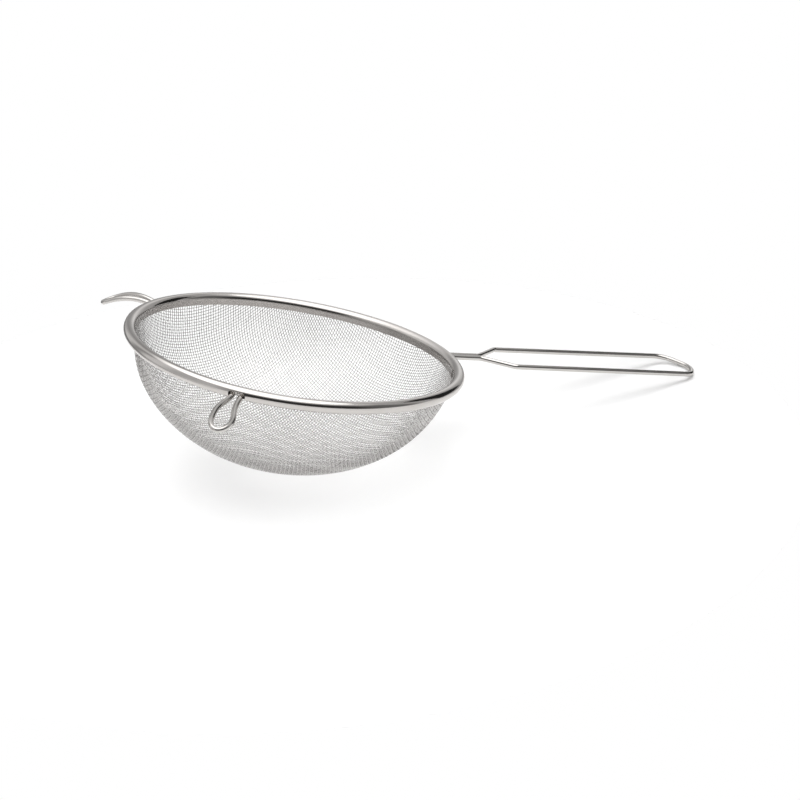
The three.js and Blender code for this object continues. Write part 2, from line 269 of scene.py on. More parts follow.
@dataclass(frozen=True)
class Wiring:
    """The nodes of one material or of the world, with the few ways in which they are joined."""

    tree: bpy.types.NodeTree

    def feed(self, node: bpy.types.Node, values: Inputs) -> None:
        """Fill a node's inputs.

        Args:
            node: The node.
            values: For each input, a plain number or colour, or the socket that is linked to it.
        """
        for name, value in values.items():
            if isinstance(value, Socket):
                self.tree.links.new(value, node.inputs[name])
            else:
                node.inputs[name].default_value = value

    def add(self, kind: str, values: Inputs, **settings: str) -> bpy.types.Node:
        """Add a shader node.

        Args:
            kind: Its kind, such as TexNoise.
            values: What its inputs get.
            settings: Its own settings.

        Returns:
            The node.
        """
        node = self.tree.nodes.new(f"ShaderNode{kind}")
        for name, setting in settings.items():
            setattr(node, name, setting)
        self.feed(node, values)
        return node

    def math(self, operation: str, *values: Socket | float) -> Socket:
        """The result of one operation on sockets or numbers."""
        return self.add("Math", dict(enumerate(values)), operation=operation).outputs["Value"]

    def share(self, value: Socket, low: float, high: float) -> Socket:
        """How far a value is on its way from one limit to another, as a share of 1."""
        values = {"Value": value, "From Min": low, "From Max": high}
        return self.add("MapRange", values).outputs["Result"]

    def ramp(self, share: Socket, stops: tuple[tuple[float, Triple], ...]) -> Socket:
        """A colour that changes along a share.

        Args:
            share: The share's socket.
            stops: Position and colour of each stop, in order.

        Returns:
            The colour's socket.
        """
        node = self.add("ValToRGB", {"Fac": share})
        elements = node.color_ramp.elements
        while len(elements) > 1:
            elements.remove(elements[-1])
        elements[0].position = stops[0][0]
        elements[0].color = (*stops[0][1], 1.0)
        for position, colour in stops[1:]:
            elements.new(position).color = (*colour, 1.0)
        return node.outputs["Color"]

    def greys(self, share: Socket, stops: Stops) -> Socket:
        """A grey that changes along a share, by the position and level of each stop."""
        return self.ramp(share, tuple((position, (level,) * 3) for position, level in stops))

    def place(self) -> Socket:
        """The place on the piece, in metres."""
        return self.add("TexCoord", {}).outputs["Object"]

    def noise(self, place: Socket, scale: float, detail: float) -> Socket:
        """An even noise from 0 to 1, with so many patches to a metre and so many finer layers."""
        values = {"Vector": place, "Scale": scale, "Detail": detail}
        return self.add("TexNoise", values).outputs["Fac"]

    def looked_at(self) -> Socket:
        """Find out whether a ray looks at the surface, or only brings light from it.

        Returns:
            1 for a camera, glossy or transmission ray, and 0 for another.
        """
        path = self.add("LightPath", {}).outputs
        seen = self.math("MAXIMUM", path["Is Camera Ray"], path["Is Glossy Ray"])
        return self.math("MAXIMUM", seen, path["Is Transmission Ray"])

    def shine(self, colour: Socket | tuple[float, ...]) -> None:
        """End a material in a plain glow of one colour, or of the socket that gives it."""
        glow = self.add("Emission", {"Color": colour}).outputs["Emission"]
        self.feed(self.tree.nodes["Material Output"], {"Surface": glow})


def new_finish(name: str) -> tuple[Finish, Wiring]:
    """A new material.

    Args:
        name: Its name.

    Returns:
        The material, and its nodes.
    """
    material = bpy.data.materials.new(name)
    material.use_nodes = True
    return material, Wiring(material.node_tree)


@dataclass(frozen=True)
class SteelFinish:
    """A bare steel surface: colour, gloss, and the fine marks left by rolling or drawing."""

    name: str
    colour: Triple
    shade: Triple
    roughness_low: float
    roughness_high: float
    patch_scale: float = 60.0
    mark_scale: float = 900.0
    mark_height: float = 0.00002
    dulled: float = 0.0
    shade_until: float = 0.3
    colour_from: float = 0.7
    patch_detail: float = 4.0
    mark_detail: float = 3.0
    mark_strength: float = 0.25

    def material(self) -> Finish:
        """Build the node material of this finish.

        Returns:
            The material, on Object coordinates and the attribute that says where it is dull.
        """
        material, nodes = new_finish(self.name)
        place = nodes.place()
        patches = nodes.noise(place, self.patch_scale, self.patch_detail)
        tint = ((self.shade_until, self.shade), (self.colour_from, self.colour))
        gloss = nodes.add("MapRange", {
            "Value": patches, "To Min": self.roughness_low, "To Max": self.roughness_high,
        }).outputs["Result"]
        dull = nodes.add("Attribute", {}, attribute_name=DULL).outputs["Fac"]
        marks = nodes.noise(place, self.mark_scale, self.mark_detail)
        bump = nodes.add("Bump", {
            "Height": marks, "Strength": self.mark_strength, "Distance": self.mark_height,
        })
        nodes.feed(nodes.tree.nodes["Principled BSDF"], {
            "Metallic": 1.0,
            "Base Color": nodes.ramp(patches, tint),
            "Roughness": nodes.math("MULTIPLY_ADD", dull, self.dulled, gloss),
            "Normal": bump.outputs["Normal"],
        })
        return material


ROLLED_STRIP = SteelFinish(
    name="rolled_strip_steel", colour=(0.60, 0.575, 0.555), shade=(0.55, 0.525, 0.505),
    roughness_low=0.09, roughness_high=0.15, dulled=0.3,
)
DRAWN_WIRE = SteelFinish(
    name="drawn_wire_steel", colour=(0.60, 0.58, 0.56), shade=(0.55, 0.53, 0.51),
    roughness_low=0.04, roughness_high=0.09, patch_scale=90.0, mark_scale=1200.0,
)
# The same strip's steel made darker: painted shade for the band's dim face under the bead.
BAND_PAINTED_SHADE_STEEL = SteelFinish(
    name="strip_band_painted_shade", colour=(0.44, 0.42, 0.40), shade=(0.39, 0.37, 0.355),
    roughness_low=0.14, roughness_high=0.22,
)
CLOTH_WIRE_STEEL = SteelFinish(
    name="cloth_wire_steel", colour=(0.59, 0.577, 0.566), shade=(0.53, 0.518, 0.508),
    roughness_low=0.18, roughness_high=0.28, patch_scale=120.0, mark_scale=2500.0,
    mark_height=0.00001,
)


def dress(piece: Piece, finish: Finish) -> None:
    """Give a piece its material, and fix it to the body.

    Args:
        piece: The finished mesh object.
        finish: Its material.
    """
    piece.data.materials.clear()
    piece.data.materials.append(finish)
    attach(piece, BODY)


@dataclass(frozen=True)
class Notch:
    """A gap in the rim's outer curl: its angle, half its width and the height of its upper edge."""

    angle: float
    half: float
    top: float


@dataclass
class RimStrip:
    """Thin steel strip rolled over the frame wire into a bead, with a band that holds the cloth."""

    rim_diameter: float = 199.9
    bead_diameter: float = 7.1
    thickness: float = 0.45
    band_depth: float = 3.2
    bead_start: float = 180.0
    curl_end: float = -105.0
    bead_steps: int = 48
    band_steps: int = 5
    spin_steps: int = 360
    edge_nose: float = 0.3
    merge: float = 0.001
    smooth_angle: float = 40.0
    notches: tuple[Notch, ...] = (
        Notch(angle=0.0, half=6.1, top=1.0),
        Notch(angle=FAR_REST_ANGLE, half=4.9, top=1.9),
        Notch(angle=FRONT_REST_ANGLE, half=4.9, top=1.2),
    )
    notch_inner: float = 94.85
    notch_reach: float = 10.65
    notch_corner: float = 1.9
    notch_corner_steps: int = 8
    lap_start: float = -5.0
    lap_sweep: float = 15.0
    lap_steps: int = 40
    lap_thickness: float = 0.25
    lap_gap: float = 0.02
    lap_rise: int = 10
    band_top: float = 1.2
    dull_angle: float = 14.0
    dull_start: float = 14.0
    dull_end: float = 32.0

    @property
    def bead_circle(self) -> float:
        """Radius of the bead's axis."""
        return (self.rim_diameter - self.bead_diameter) / 2

    def middle_line(self) -> list[Vector]:
        """The strip's middle line in section, from the band's foot over the bead to the curl's end.

        Returns:
            Points with x as radius and y as height, in millimetres.
        """
        middle = self.bead_diameter / 2 - self.thickness / 2
        line = [
            Vector((self.bead_circle - middle, -self.band_depth * (1 - step / self.band_steps)))
            for step in range(self.band_steps)
        ]
        turn = self.curl_end - self.bead_start
        for step in range(self.bead_steps + 1):
            angle = math.radians(self.bead_start + turn * step / self.bead_steps)
            radius = self.bead_circle + middle * math.cos(angle)
            line.append(Vector((radius, middle * math.sin(angle))))
        return line

    def thicken(self, line: list[Vector], thickness: float, shift: float = 0.0) -> list[Vector]:
        """Closed outline of a strip along a line, its two edges slightly rounded.

        Args:
            line: The strip's middle line.
            thickness: The strip's thickness.
            shift: How far the outline is moved sideways off the line, to the left of its run.

        Returns:
            The outline's points, without repeating the first.
        """
        left, right = [], []
        for index, point in enumerate(line):
            before, after = line[max(index - 1, 0)], line[min(index + 1, len(line) - 1)]
            along = (after - before).normalized()
            side = Vector((-along.y, along.x))
            left.append(point + side * (shift + thickness / 2))
            right.append(point + side * (shift - thickness / 2))
        nose = thickness * self.edge_nose
        first = (left[0] + right[0]) / 2 + (line[0] - line[1]).normalized() * nose
        last = (right[-1] + left[-1]) / 2 + (line[-1] - line[-2]).normalized() * nose
        return [*right, last, *reversed(left), first]

    def spin(
        self, name: str, outline: list[Vector], start: float, sweep: float, steps: int,
    ) -> Piece:
        """Turn a closed outline about the bowl's axis.

        Args:
            name: The new object's name.
            outline: Points with x as radius and y as height.
            start: Angle of the first section, in degrees from the handle.
            sweep: How far it is turned, in degrees; 360 closes the ring.
            steps: Number of steps in the sweep.

        Returns:
            The closed mesh object, in the rim's own frame.
        """
        deselect_all()
        bpy.ops.mesh.primitive_circle_add(vertices=len(outline), radius=1.0, fill_type="NOTHING")
        piece = just_added(name)
        for vertex, point in zip(piece.data.vertices, outline):
            vertex.co = polar(point.x, start, point.y)
        bpy.ops.object.mode_set(mode="EDIT")
        bpy.ops.mesh.select_all(action="SELECT")
        bpy.ops.mesh.spin(
            steps=steps, angle=math.radians(sweep), center=(0.0, 0.0, 0.0), axis=(0.0, 0.0, 1.0),
        )
        close_mesh(self.merge, fill_ends=sweep < 360)
        return piece

    def notch_cutter(self, notch: Notch) -> Piece:
        """The tool that cuts away the outer curl where two lengths of the frame wire come out.

        Args:
            notch: The notch to cut.

        Returns:
            A closed mesh object, in the rim's own frame.
        """
        bottom = -self.bead_diameter
        size = Matrix.Diagonal((self.notch_reach, 2 * notch.half, notch.top - bottom, 1.0))
        middle = (self.notch_inner + self.notch_reach / 2, 0.0, (notch.top + bottom) / 2)
        deselect_all()
        bpy.ops.mesh.primitive_cube_add(size=1.0)
        cutter = just_added("notch_cutter")
        cutter.data.transform(Matrix.Translation(middle) @ size)
        bpy.ops.object.mode_set(mode="EDIT")
        bpy.ops.mesh.select_all(action="DESELECT")
        bpy.ops.object.mode_set(mode="OBJECT")
        for edge in cutter.data.edges:
            ends = [cutter.data.vertices[index].co for index in edge.vertices]
            level = all(end.z > notch.top - NEAR for end in ends)
            edge.select = level and abs(ends[0].y - ends[1].y) < NEAR
        bpy.ops.object.mode_set(mode="EDIT")
        bpy.ops.mesh.bevel(offset=self.notch_corner, segments=self.notch_corner_steps)
        bpy.ops.object.mode_set(mode="OBJECT")
        cutter.data.transform(Matrix.Rotation(math.radians(notch.angle), 4, "Z"))
        return cutter

    def build(self) -> list[Piece]:
        """Model the strip with its three notches, and its lapped end.

        Returns:
            The rim's pieces, in the rim's own frame.
        """
        outline = self.thicken(self.middle_line(), self.thickness)
        ring = self.spin("rolled_rim", outline, 0.0, 360.0, self.spin_steps)
        for notch in self.notches:
            cutter = self.notch_cutter(notch)
            cut = ring.modifiers.new("notch", "BOOLEAN")
            cut.operation = "DIFFERENCE"
            cut.solver = "EXACT"
            cut.object = cutter
            activate(ring)
            bpy.ops.object.modifier_apply(modifier=cut.name)
            bpy.data.objects.remove(cutter)
        shade_smooth(ring, self.smooth_angle)
        return [ring, self.lapped_end()]

    def lapped_end(self) -> Piece:
        """The end of the strip, lapped over its start on the inside near the handle.

        Returns:
            The lap, in the rim's own frame.
        """
        shift = (self.thickness + self.lap_thickness) / 2 + self.lap_gap
        outline = self.thicken(self.middle_line()[:self.lap_rise], self.lap_thickness, shift)
        lap = self.spin("rim_lap", outline, self.lap_start, self.lap_sweep, self.lap_steps)
        shade_smooth(lap, self.smooth_angle)
        return lap

    def shade_band(self, piece: Piece, finish: Finish) -> None:
        """Give the inner face of the band, under the bead, a darker copy of the strip's steel as
        painted shade.

        Args:
            piece: A piece of the rim, in the rim's own frame.
            finish: The band's darker material, painted shade, added in a second slot.
        """
        piece.data.materials.append(finish)
        inner = self.bead_circle - self.bead_diameter / 2 + self.thickness
        for face in piece.data.polygons:
            radius = math.hypot(face.center.x, face.center.y)
            if radius < inner and face.center.z < self.band_top:
                face.material_index = 1

    def dull_joint(self, piece: Piece) -> None:
        """Mark how dull the strip is: fully where its ends are joined, fading out on either side.

        Args:
            piece: A piece of the rim, in the rim's own frame.
        """
        marks = piece.data.attributes.new(DULL, "FLOAT", "POINT")
        for point, mark in zip(piece.data.vertices, marks.data):
            away = abs(math.degrees(math.atan2(point.co.y, point.co.x)) - self.dull_angle)
            share = (self.dull_end - away) / (self.dull_end - self.dull_start)
            mark.value = min(1.0, max(0.0, share))


@dataclass(frozen=True)
class RestLoop:
    """Where one rest loop leaves the rim, how it rises and ends, and how it leans and sways."""

    angle: float
    rise: float
    tip_drop: float
    lean: float = 0.0
    twist: float = 0.0
    sway: float = 0.0


@dataclass
class FrameWire:
    """One bent steel wire: core of the rim, two rest loops, and the hairpin handle."""

    rim: RimStrip = field(default_factory=RimStrip)
    stock: RoundWire = RoundWire(diameter=3.18, roundness=10)
    drop: float = 0.9
    end_gap: float = 1.2
    bend: float = 4.3
    pair_gap: float = 0.5
    front_rest: RestLoop = RestLoop(
        angle=FRONT_REST_ANGLE, rise=-6.7, tip_drop=9.95, lean=4.0, sway=-1.1,
    )
    far_rest: RestLoop = RestLoop(angle=FAR_REST_ANGLE, rise=9.8, tip_drop=9.1, twist=0.12)
    rest_bend: float = 3.5
    rest_neck: float = 5.2
    sway_start: float = 4.0
    sway_end: float = 31.0
    rest_reach: float = 39.05
    rest_width: float = 11.4
    rest_widest_at: float = 28.1
    neck_end: float = 123.0
    legs_start: float = 141.0
    shoulder_width: float = 31.2
    shoulder_bend: float = 4.0
    tip_reach: float = 276.1
    tip_knee: float = -4.6
    bar_bend: float = 15.7
    front_corner: Pair = (267.0, -16.6)
    front_corner_bend: float = 6.8
    far_corner: Pair = (266.2, 17.2)
    far_corner_bend: float = 11.5
    droop: float = 0.67
    run_step: float = 2.0
    bend_steps: int = 12
    leg_steps: int = 24
    end_steps: int = 16
    corner_step: float = 5.0
    corner_least_steps: int = 4
    least_gap: float = 0.15

    @property
    def pair_half(self) -> float:
        """Half the distance between two wires that lie side by side."""
        return (self.stock.diameter + self.pair_gap) / 2

    def rim_run(self, start: float, end: float) -> list[Vector]:
        """The wire's axis inside the bead, between two angles in degrees from the handle."""
        steps = max(2, math.ceil((end - start) / self.run_step))
        angles = [start + (end - start) * step / steps for step in range(steps + 1)]
        return [polar(self.rim.bead_circle, angle, -self.drop) for angle in angles]

    def turn_out(self, radius: float, half: float) -> list[Pair]:
        """Quarter bend of a wire to half the gap of its pair, as distances out and across."""
        turns = [math.pi / 2 * step / self.bend_steps for step in range(1, self.bend_steps + 1)]
        return [
            (radius - radius * math.cos(turn), -(half + radius) + radius * math.sin(turn))
            for turn in turns
        ]

    @staticmethod
    def mirrored(half: list[Pair]) -> list[Pair]:
        """Add the other side of a loop to one half of it, given as distances out and across."""
        return [*half, *[(out, -across) for out, across in reversed(half) if across != 0.0]]

    def rest_place(self, rest: RestLoop, out: float, across: float) -> Vector:
        """A point of a rest loop's axis, with the handle's direction as its own way out.

        Args:
            rest: The loop.
            out: Distance out from the bead's axis.
            across: Distance to the side before the loop leans.

        Returns:
            The point in the rim's own frame, before it is turned to the loop's angle.
        """
        share = out / self.rest_reach
        fall = (self.drop - rest.tip_drop - rest.rise) * share ** 2
        height = -self.drop + rest.rise * share + fall
        height -= rest.twist * across * share
        lean = math.tan(math.radians(rest.lean))
        sideways = across + max(0.0, out - self.rest_bend) * lean
        if self.sway_start < out < self.sway_end:
            run = (out - self.sway_start) / (self.sway_end - self.sway_start)
            sideways += rest.sway * math.sin(math.pi * run) ** 2
        return Vector((self.rim.bead_circle + out, sideways, height))

    def rest_loop(self, rest: RestLoop) -> list[Vector]:
        """The wire's axis round one rest.

        Args:
            rest: The loop.

        Returns:
            Points in the rim's own frame.
        """
        bend, widest = self.rest_bend, self.rest_widest_at
        neck_half, half_width = self.rest_neck / 2, self.rest_width / 2
        half = self.turn_out(bend, neck_half)
        for step in range(1, self.leg_steps + 1):
            share = step / self.leg_steps
            swell = (half_width - neck_half) * eased(share)
            half.append((bend + (widest - bend) * share, -(neck_half + swell)))
        for step in range(1, self.end_steps + 1):
            angle = math.pi / 2 * step / self.end_steps
            across = 0.0 if step == self.end_steps else -half_width * math.cos(angle)
            half.append((widest + (self.rest_reach - widest) * math.sin(angle), across))
        turn = Matrix.Rotation(math.radians(rest.angle), 3, "Z")
        return [turn @ self.rest_place(rest, out, across) for out, across in self.mirrored(half)]

    def rounded_corner(
        self, before: Vector, corner: Vector, after: Vector, radius: float,
    ) -> list[Vector]:
        """A corner of a path rounded to an arc.

        Args:
            before: The path's point before the corner.
            corner: The corner.
            after: The path's point after the corner.
            radius: The arc's radius.

        Returns:
            Points along the arc.
        """
        inward, onward = (before - corner).normalized(), (after - corner).normalized()
        half_angle = inward.angle(onward) / 2
        reach = radius / math.tan(half_angle)
        centre = corner + (inward + onward).normalized() * (radius / math.sin(half_angle))
        sweep = math.pi - 2 * half_angle
        first = corner + inward * reach - centre
        last = corner + onward * reach - centre
        side = (last - first * math.cos(sweep)) / math.sin(sweep)
        steps = max(self.corner_least_steps, math.ceil(sweep / math.radians(self.corner_step)))
        turns = [sweep * step / steps for step in range(steps + 1)]
        return [centre + first * math.cos(turn) + side * math.sin(turn) for turn in turns]

    def handle_loop(self) -> list[Vector]:
        """The wire's axis round the neck and the hairpin handle.

        Returns:
            Points in the rim's own frame.
        """
        circle, half_shoulder = self.rim.bead_circle, self.shoulder_width / 2
        corners = [
            (Vector((circle + self.bend, -self.pair_half)), 0.0),
            (Vector((self.neck_end, -self.pair_half)), self.shoulder_bend),
            (Vector((self.legs_start, -half_shoulder)), self.shoulder_bend),
            (Vector(self.front_corner), self.front_corner_bend),
            (Vector((self.tip_reach, self.tip_knee)), self.bar_bend),
            (Vector(self.far_corner), self.far_corner_bend),
            (Vector((self.legs_start, half_shoulder)), self.shoulder_bend),
            (Vector((self.neck_end, self.pair_half)), self.shoulder_bend),
            (Vector((circle + self.bend, self.pair_half)), 0.0),
        ]
        leaving = self.turn_out(self.bend, self.pair_half)
        way = list(leaving)
        for (before, _), (corner, radius), (after, _) in zip(corners, corners[1:], corners[2:]):
            arc = self.rounded_corner(before, corner, after, radius)
            way.extend((point.x - circle, point.y) for point in arc)
        way.extend((out, -across) for out, across in reversed(leaving))
        slope = math.tan(math.radians(self.droop))
        return [
            Vector((circle + out, across, -self.drop - max(0.0, out - self.bend) * slope))
            for out, across in way
        ]

    def axis(self) -> list[Vector]:
        """The whole wire's axis, from one end to the other.

        Returns:
            Points in the rim's own frame, none of them too close to the one before.
        """
        circle = self.rim.bead_circle
        outlet = math.degrees((self.pair_half + self.bend) / circle)
        rest_outlet = math.degrees((self.rest_neck / 2 + self.rest_bend) / circle)
        gap = math.degrees(self.end_gap / 2 / circle)
        points = [
            *self.rim_run(-180 + gap, self.front_rest.angle - rest_outlet),
            *self.rest_loop(self.front_rest),
            *self.rim_run(self.front_rest.angle + rest_outlet, -outlet),
            *self.handle_loop(),
            *self.rim_run(outlet, self.far_rest.angle - rest_outlet),
            *self.rest_loop(self.far_rest),
            *self.rim_run(self.far_rest.angle + rest_outlet, 180 - gap),
        ]
        apart = points[:1]
        for point in points[1:]:
            if (point - apart[-1]).length > self.least_gap:
                apart.append(point)
        return apart

    def build(self) -> list[Piece]:
        """Model the wire as a round tube along its axis, in the rim's own frame."""
        return [self.stock.along("frame_wire_round", [np.array(self.axis())])]


@dataclass
class WireCloth:
    """Plain-woven steel cloth drawn into a bowl: each crossing one pitch from its neighbours."""

    radius: float = 92.8
    depth: float = 69.4
    pitch: float = 1.78
    stock: RoundWire = RoundWire(diameter=0.33, roundness=1)
    crimp: float = 0.51
    edge_height: float = -2.4
    flare: float = 1.05
    flare_start: float = -14.0
    flare_end: float = -3.2
    weave_angle: float = 22.0
    sag: Pair = (-1.0, 0.2)
    sag_depth: float = 30.0
    cad_wires: int = 21
    least_crossings: int = 3
    spine_reach: float = 0.2
    halvings: int = 50

    @property
    def inverse_squares(self) -> np.ndarray:
        """One over the square of each half axis of the bowl."""
        return np.array([self.radius, self.radius, self.depth]) ** -2.0

    def meridian(self, angle: float) -> Vector:
        """A point down the bowl's wall, by its angle from the bottom."""
        return Vector((self.radius * math.sin(angle), 0.0, -self.depth * math.cos(angle)))

    def spine(self) -> np.ndarray:
        """Crossings along the wire through the bowl's bottom, from the bottom to past the edge.

        Returns:
            One row for each crossing.
        """
        points = [self.meridian(0.0)]
        angle = 0.0
        while points[-1].z < self.edge_height and angle < math.pi / 2:
            low, high = angle, angle + self.spine_reach
            for _ in range(self.halvings):
                angle = (low + high) / 2
                if (self.meridian(angle) - points[-1]).length < self.pitch:
                    low = angle
                else:
                    high = angle
            points.append(self.meridian(angle))
        return np.array(points)

    def next_crossings(
        self, left: np.ndarray, right: np.ndarray, behind: np.ndarray,
    ) -> np.ndarray:
        """Crossings on the bowl, each one pitch from two known neighbours.

        Args:
            left: One neighbour of each new crossing.
            right: The other neighbour.
            behind: The crossing on the far side of the two neighbours.

        Returns:
            One row for each crossing, which is not a number where the bowl isn't reached.
        """
        middle, across = (left + right) / 2, right - left
        span = np.linalg.norm(across, axis=1, keepdims=True)
        reach = np.sqrt(np.maximum(self.pitch ** 2 - span ** 2 / 4, 0.0))
        across = across / span
        onward = middle - behind
        onward = onward - across * (onward * across).sum(axis=1, keepdims=True)
        onward = onward / np.linalg.norm(onward, axis=1, keepdims=True)
        side = np.cross(across, onward)

        def place(swing: np.ndarray) -> np.ndarray:
            """Points of the circles that are one pitch from both neighbours."""
            return middle + reach * (onward * np.cos(swing) + side * np.sin(swing))

        def offset(swing: np.ndarray) -> np.ndarray:
            """How far those points are outside the bowl, negative inside."""
            return (place(swing) ** 2 * self.inverse_squares).sum(axis=1, keepdims=True) - 1.0

        low = np.full((len(left), 1), -math.pi / 2)
        high = -low
        sign = np.sign(offset(low))
        missed = (sign == np.sign(offset(high)))[:, 0]
        for _ in range(self.halvings):
            half = (low + high) / 2
            same = np.sign(offset(half)) == sign
            low, high = np.where(same, half, low), np.where(same, high, half)
        found = place((low + high) / 2)
        found[missed] = np.nan
        return found

    def quarter(self) -> np.ndarray:
        """Crossings of one quarter of the cloth, from the bottom outwards.

        Returns:
            An array by column, row and coordinate; crossings past the edge are not numbers.
        """
        spine = self.spine()
        last = len(spine) - 1
        net = np.full((last + 1, last + 1, 3), np.nan)
        net[:, 0] = spine
        net[0, :] = spine[:, [1, 0, 2]]
        for diagonal in range(2, 2 * last + 1):
            column = np.arange(max(1, diagonal - last), min(last, diagonal - 1) + 1)
            row = diagonal - column
            left, right, behind = (column - 1, row), (column, row - 1), (column - 1, row - 1)
            around = np.stack([net[left], net[right], net[behind]])
            known = np.isfinite(around).all(axis=(0, 2))
            if known.any():
                net[column[known], row[known]] = self.next_crossings(*around[:, known])
        return net

    def half_wire(self, crossings: np.ndarray, first_side: int) -> tuple[np.ndarray, np.ndarray]:
        """Half of one wire, from its middle crossing out to the cloth's edge.

        Args:
            crossings: The wire's crossings in order.
            first_side: 1 where the first crossing is outside the other wire, -1 where inside.

        Returns:
            The crossings kept, and the side of each.
        """
        finite = np.isfinite(crossings).all(axis=1)
        inside = finite & (np.nan_to_num(crossings[:, 2]) < self.edge_height)
        count = len(crossings) if inside.all() else int(np.argmin(inside))
        if count < len(crossings) and finite[count]:
            count += 1
        sides = first_side * (1 - 2 * (np.arange(count) % 2))
        return crossings[:count], sides.astype(float)

    def flared(self, points: np.ndarray) -> np.ndarray:
        """Crossings moved out near the edge, where the cloth goes up behind the rim's band."""
        share = (points[:, 2] - self.flare_start) / (self.flare_end - self.flare_start)
        return moved_out(points, self.flare * eased(np.clip(share, 0.0, 1.0)))

    def sagged(self, points: np.ndarray) -> np.ndarray:
        """Points moved sideways below the edge, as the drawn bowl hangs a little off its axis."""
        share = eased(np.clip(-points[:, 2] / self.sag_depth, 0.0, 1.0))
        return points + np.outer(share, (*self.sag, 0.0))

    def wire_axis(self, net: np.ndarray, family: Family, line: int) -> np.ndarray | None:
        """The axis of one wire, with its crimp.

        Args:
            net: Crossings of one quarter.
            family: Which way the wire runs.
            line: The wire's number, 0 at the bottom and negative on the other side.

        Returns:
            Points in the rim's own frame, or None where the wire would be too short.
        """
        row = abs(line)
        warp = family is Family.WARP
        crossings = net[row] if warp else net[:, row]
        first_side = (1 - 2 * (row % 2)) * (1 if warp else -1)
        half, sides = self.half_wire(crossings, first_side)
        if len(half) < self.least_crossings:
            return None
        flip = np.array([1.0, -1.0, 1.0] if warp else [-1.0, 1.0, 1.0])
        points = np.concatenate([half[:0:-1] * flip, half])
        sides = np.concatenate([sides[:0:-1], sides])
        if line < 0:
            points = points * flip[[1, 0, 2]]
        normals = points * self.inverse_squares
        normals /= np.linalg.norm(normals, axis=1, keepdims=True)
        points = self.flared(points)
        axis = np.empty((2 * len(points) - 1, 3))
        axis[0::2] = points + normals * (sides * self.stock.diameter * self.crimp)[:, None]
        axis[1::2] = (points[1:] + points[:-1]) / 2
        turn = np.array(Matrix.Rotation(math.radians(self.weave_angle), 3, "Z"))
        return self.sagged(axis @ turn.T)

    def build(self) -> dict[tuple[Family, Band], Piece]:
        """Model all the wires, in three bands for each family.

        Returns:
            One mesh for each band of each family, in the rim's own frame.
        """
        net = self.quarter()
        last = net.shape[0] - 1
        count = 2 * last + 1
        pieces = {}
        for family in Family:
            for band in Band:
                low = -last + round(count * band.value / len(Band))
                high = -last + round(count * (band.value + 1) / len(Band))
                axes = [self.wire_axis(net, family, line) for line in range(low, high)]
                kept = [axis for axis in axes if axis is not None]
                name = f"{family.value}_wires_{band.name.lower()}"
                pieces[family, band] = self.stock.along(name, kept)
        return pieces

    def cad_nodes(self, family: Family, band: Band) -> list[str]:
        """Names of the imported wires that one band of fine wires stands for."""
        first = band.value * self.cad_wires // len(Band) + 1
        last = (band.value + 1) * self.cad_wires // len(Band)
        return [f"{family.value}_wire_{number:02d}" for number in range(first, last + 1)]


@dataclass(frozen=True)
class PhotoCamera:
    """The camera at the photograph's place, found from the rim, bowl and handle outlines.

    The rim's centre, in millimetres, and the rim's own directions are given as the camera sees
    them: to the right, down and ahead.
    """

    rim_centre: Triple = (-61.990, -29.2545, 1286.907)
    handle_way: Triple = (0.89770, 0.01656, 0.44030)
    far_way: Triple = (-0.40698, -0.35172, 0.84301)
    rim_normal: Triple = (0.16882, -0.93596, -0.30900)
    lens: float = 99.0
    sensor: float = 36.0
    nearest: float = 0.05

    def build(self, rest: TableRest) -> None:
        """Add the camera and look through it.

        Args:
            rest: How the sieve lies on the table.
        """
        axes = Matrix((self.handle_way, self.far_way, self.rim_normal))
        place = rest.matrix() @ -(axes @ Vector(self.rim_centre))
        turn = rest.matrix().to_3x3().normalized() @ axes
        right, down, ahead = turn.col[0], turn.col[1], turn.col[2]
        data = bpy.data.cameras.new("photo_camera")
        data.lens = self.lens
        data.sensor_width = self.sensor
        data.clip_start = self.nearest
        camera = bpy.data.objects.new("photo_camera", data)
        bpy.context.scene.collection.objects.link(camera)
        look = Matrix((right, -down, -ahead)).transposed().to_4x4()
        camera.matrix_world = Matrix.Translation(place) @ look
        bpy.context.scene.camera = camera


@dataclass(frozen=True)
class Lamp:
    """A far lamp that lights the table: its way, height and softness in degrees, and strength."""

    name: str
    angle: float
    height: float
    softness: float
    strength: float

    def build(self, shaded_by: bpy.types.Collection) -> None:
        """Add the lamp, which the steel does not mirror.

        Args:
            shaded_by: The only pieces that cast a shadow in its light.
        """
        light = bpy.data.lights.new(self.name, "SUN")
        light.angle = math.radians(self.softness)
        light.energy = self.strength
        lamp = bpy.data.objects.new(self.name, light)
        height = math.radians(self.height)
        toward = polar(math.cos(height), self.angle, math.sin(height))
        lamp.location = toward
        lamp.rotation_euler = toward.to_track_quat("Z", "Y").to_euler()
        lamp.visible_camera = False
        lamp.visible_glossy = False
        lamp.light_linking.blocker_collection = shaded_by
        bpy.context.scene.collection.objects.link(lamp)


